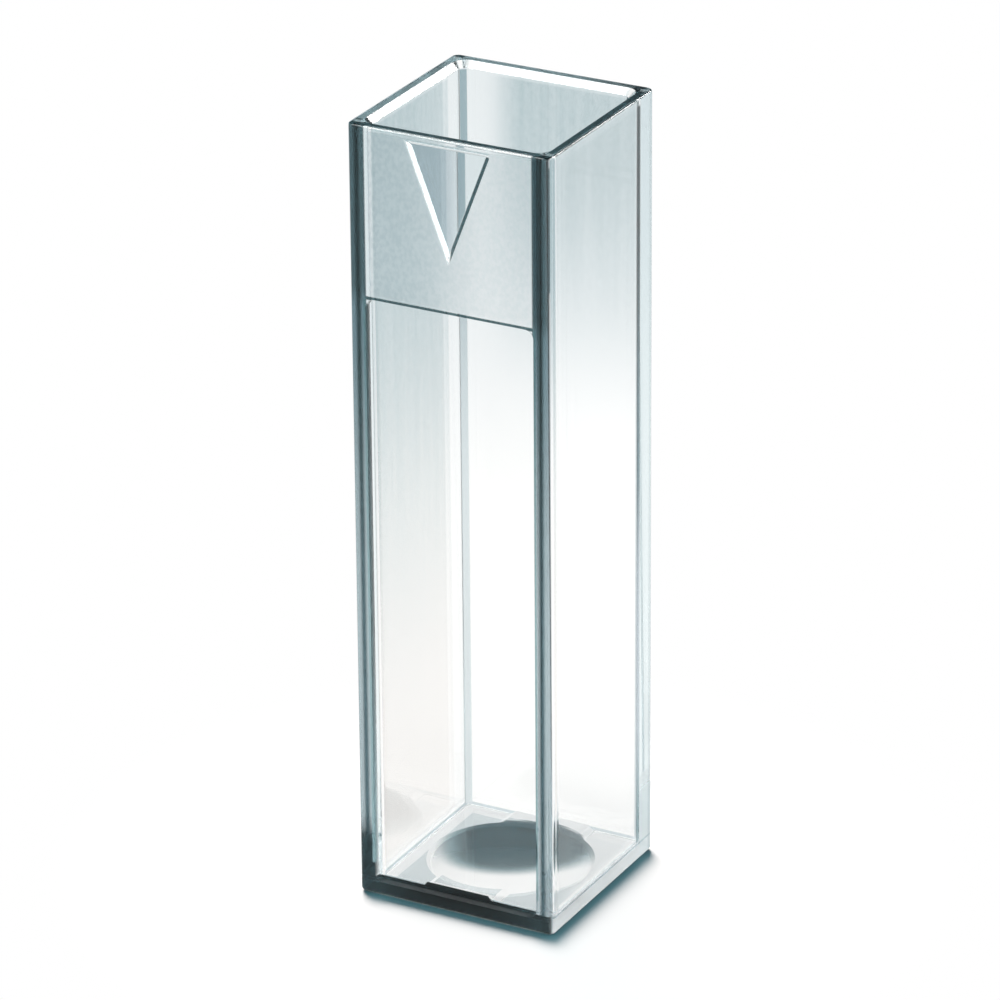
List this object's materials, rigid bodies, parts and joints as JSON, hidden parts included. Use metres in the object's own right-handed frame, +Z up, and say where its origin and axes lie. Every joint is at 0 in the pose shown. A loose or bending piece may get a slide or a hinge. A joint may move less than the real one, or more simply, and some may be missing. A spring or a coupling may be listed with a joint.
{
  "type": "cuvette",
  "caption": "Clear square photometer cuvette, open at the top, with a sunken optical window and a sunken arrow on the face that the light enters.",
  "frame": {"origin": "middle of the underside, which is the bottom centre of the bounding box", "axes": "+Z up along the cuvette, -Y out of the face with the arrow, which the light crosses, +X to the right of that face"},
  "size_m": [0.012, 0.012, 0.045],
  "materials": {
    "clear_polystyrene": "polished"
  },
  "bodies": {
    "root": {"cuvette_body": "clear_polystyrene"}
  },
  "joints": []
}
